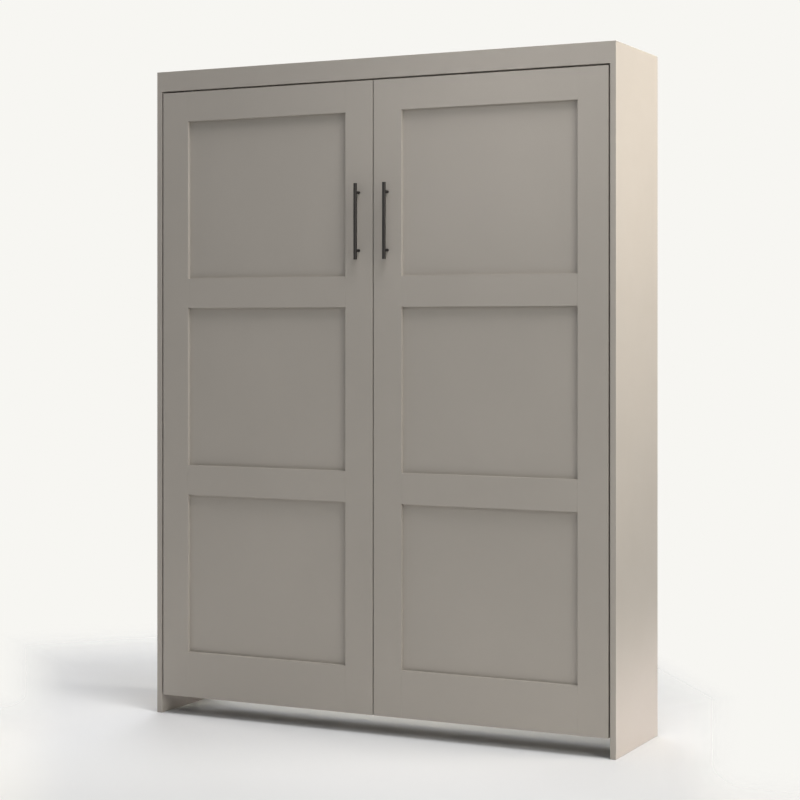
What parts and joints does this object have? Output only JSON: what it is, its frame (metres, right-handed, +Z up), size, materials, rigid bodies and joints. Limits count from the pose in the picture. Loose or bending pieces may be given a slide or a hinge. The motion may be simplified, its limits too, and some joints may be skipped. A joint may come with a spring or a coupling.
{
  "type": "wall bed",
  "caption": "Upright wall bed: a shallow painted cabinet whose panelled false doors fold down as the bed's face, with gas struts and a swing-out foot leg.",
  "frame": {"origin": "centre of the footprint, on the floor", "axes": "+Z up, +Y towards the wall, +X to the right seen from the front"},
  "size_m": [1.694, 0.432, 2.235],
  "materials": {
    "painted_board": "satin",
    "painted_door": "satin",
    "pine": "matte",
    "zinc_steel": "satin",
    "black_pull": "satin",
    "leg_steel": "satin",
    "strut_tube": "satin",
    "strut_rod": "polished",
    "strut_eye": "satin",
    "rubber": "matte",
    "bush": "matte",
    "ticking": "matte"
  },
  "bodies": {
    "cabinet": {"top_panel": "painted_board", "header_board": "painted_board", "upper_back_rail": "painted_board", "headboard_panel": "painted_board", "left_side_panel": "painted_board", "right_side_panel": "painted_board", "header_cleat": "pine", "stop_blocks": "pine", "corner_brackets": "zinc_steel", "left_cabinet_plate": "zinc_steel", "right_cabinet_plate": "zinc_steel", "pivot_pins": "zinc_steel", "upper_strut_studs": "zinc_steel", "stop_bumpers": "rubber"},
    "bed": {"centre_beam": "pine", "slat_ledgers": "pine", "slats": "pine", "head_rail": "painted_board", "foot_rail": "painted_board", "left_side_rail": "painted_board", "right_side_rail": "painted_board", "left_outer_stile": "painted_door", "left_inner_stile": "painted_door", "left_bottom_rail": "painted_door", "left_middle_rails": "painted_door", "left_top_rail": "painted_door", "left_flat_panels": "painted_door", "right_outer_stile": "painted_door", "right_inner_stile": "painted_door", "right_bottom_rail": "painted_door", "right_middle_rails": "painted_door", "right_top_rail": "painted_door", "right_flat_panels": "painted_door", "left_handle_bar": "black_pull", "right_handle_bar": "black_pull", "handle_posts": "black_pull", "left_bed_plate": "zinc_steel", "right_bed_plate": "zinc_steel", "lower_strut_studs": "zinc_steel", "leg_bolts": "zinc_steel", "pivot_bushes": "bush", "mattress": "ticking"},
    "foot_leg": {"left_leg_plate": "leg_steel", "right_leg_plate": "leg_steel", "leg_bar": "leg_steel", "leg_feet": "rubber"},
    "left_strut_cylinder": {"left_strut_eye": "strut_eye", "left_strut_tube": "strut_tube"},
    "left_strut_piston": {"left_strut_rod": "strut_rod", "left_strut_rod_eye": "strut_eye"},
    "right_strut_cylinder": {"right_strut_eye": "strut_eye", "right_strut_tube": "strut_tube"},
    "right_strut_piston": {"right_strut_rod": "strut_rod", "right_strut_rod_eye": "strut_eye"}
  },
  "joints": [
    {"name": "bed_fold", "type": "hinge", "parent": "cabinet", "child": "bed", "pos_m": [0, -0.069, 0.3], "axis": [1, 0, 0], "range_deg": [0, 90], "stiffness_Nm_per_rad": 345, "springref_deg": -29.79},
    {"name": "leg_swing", "type": "hinge", "parent": "bed", "child": "foot_leg", "pos_m": [0, -0.099, 2.06], "axis": [1, 0, 0], "range_deg": [0, 180]},
    {"name": "left_strut_swing", "type": "hinge", "parent": "cabinet", "child": "left_strut_cylinder", "pos_m": [0, -0.02428, 0.51039], "axis": [1, 0, 0], "range_deg": [0, 45]},
    {"name": "left_rod_swing", "type": "hinge", "parent": "bed", "child": "left_strut_piston", "pos_m": [0, -0.03907, 0.087], "axis": [1, 0, 0], "range_deg": [-45, 0]},
    {"name": "right_strut_swing", "type": "hinge", "parent": "cabinet", "child": "right_strut_cylinder", "pos_m": [0, -0.02428, 0.51039], "axis": [1, 0, 0], "range_deg": [0, 45]},
    {"name": "right_rod_swing", "type": "hinge", "parent": "bed", "child": "right_strut_piston", "pos_m": [0, -0.03907, 0.087], "axis": [1, 0, 0], "range_deg": [-45, 0]}
  ],
  "couplings": [
    {"joint": "leg_swing", "follows": "bed_fold", "ratio": 2},
    {"joint": "left_strut_swing", "follows": "bed_fold", "ratio": 0.5},
    {"joint": "left_rod_swing", "follows": "bed_fold", "ratio": -0.5},
    {"joint": "right_strut_swing", "follows": "bed_fold", "ratio": 0.5},
    {"joint": "right_rod_swing", "follows": "bed_fold", "ratio": -0.5}
  ]
}
